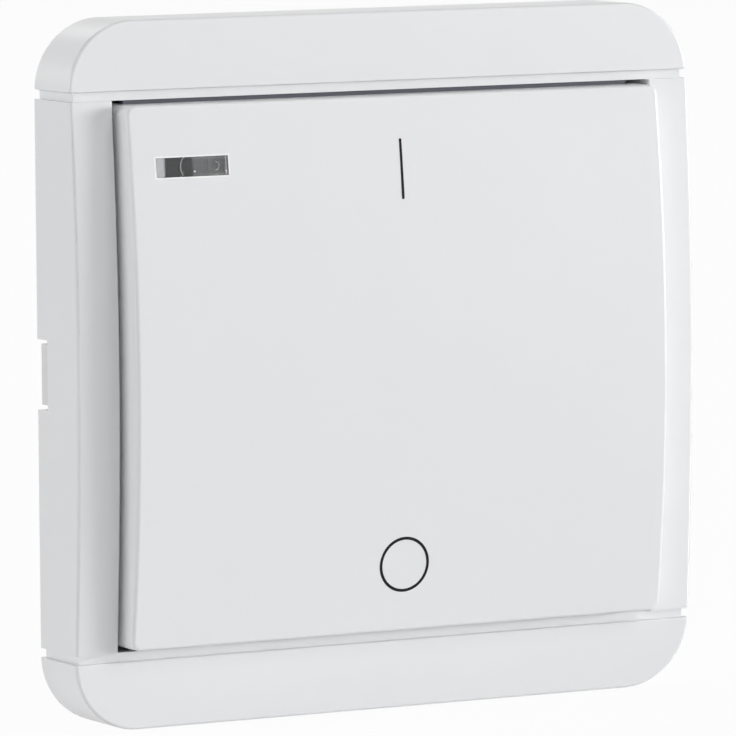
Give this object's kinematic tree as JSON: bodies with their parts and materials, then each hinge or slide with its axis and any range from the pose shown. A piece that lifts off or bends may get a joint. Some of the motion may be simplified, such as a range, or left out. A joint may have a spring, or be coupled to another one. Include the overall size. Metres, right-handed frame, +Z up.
{
  "type": "wireless remote wall switch",
  "caption": "Square wall switch with one large arched rocker, an indicator window, a clip-on surround frame and a battery radio module on a mounting plate.",
  "frame": {"origin": "centre of the mounting plate's rear face, on the plane of the wall", "axes": "+Z up, -Y the way the front faces, +X to the right as seen from the front"},
  "size_m": [0.086, 0.0149, 0.086],
  "materials": {
    "white_moulding": "satin",
    "plate_moulding": "satin",
    "module_moulding": "matt",
    "clear_lens": "clear, polished",
    "lamp_lens": "diffuse, translucent",
    "black_moulding": "matt",
    "board_laminate": "solder mask",
    "spring_steel": "bright",
    "tinned_lead": "tinned",
    "chip_resin": "matt",
    "steel_can": "bright",
    "cell_can": "bright",
    "capacitor_ceramic": "matt",
    "resistor_ceramic": "matt",
    "screw_steel": "zinc plated"
  },
  "bodies": {
    "housing": {"surround_frame": "white_moulding", "mounting_plate": "plate_moulding", "module_base": "module_moulding", "module_cover": "module_moulding", "indicator_led": "lamp_lens", "led_shroud": "black_moulding", "circuit_board": "board_laminate", "on_switch_body": "black_moulding", "off_switch_body": "black_moulding", "on_switch_cover": "spring_steel", "off_switch_cover": "spring_steel", "snap_domes": "spring_steel", "switch_terminals": "tinned_lead", "control_chip": "chip_resin", "transmitter_chip": "chip_resin", "resonator_can": "steel_can", "strip_antenna": "tinned_lead", "coin_battery": "cell_can", "battery_holder": "black_moulding", "battery_positive_clip": "spring_steel", "battery_negative_contact": "spring_steel", "chip_capacitors": "capacitor_ceramic", "chip_resistors": "resistor_ceramic", "board_screws": "screw_steel", "cover_screws": "screw_steel"},
    "rocker": {"rocker": "white_moulding", "indicator_window": "clear_lens"},
    "on_plunger": {"on_plunger": "black_moulding"},
    "off_plunger": {"off_plunger": "black_moulding"}
  },
  "joints": [
    {"name": "rocker_tilt", "type": "hinge", "parent": "housing", "child": "rocker", "pos_m": [0, -0.0072, 0], "axis": [1, 0, 0], "range_deg": [-1, 1], "stiffness_Nm_per_rad": 0.5},
    {"name": "on_plunger_slide", "type": "slide", "parent": "housing", "child": "on_plunger", "axis": [0, 1, 0], "range_m": [-0.00035, 0.00035]},
    {"name": "off_plunger_slide", "type": "slide", "parent": "housing", "child": "off_plunger", "axis": [0, 1, 0], "range_m": [-0.00035, 0.00035]}
  ],
  "couplings": [
    {"joint": "on_plunger_slide", "follows": "rocker_tilt", "m_per_rad": -0.0197},
    {"joint": "off_plunger_slide", "follows": "rocker_tilt", "m_per_rad": 0.0197}
  ]
}
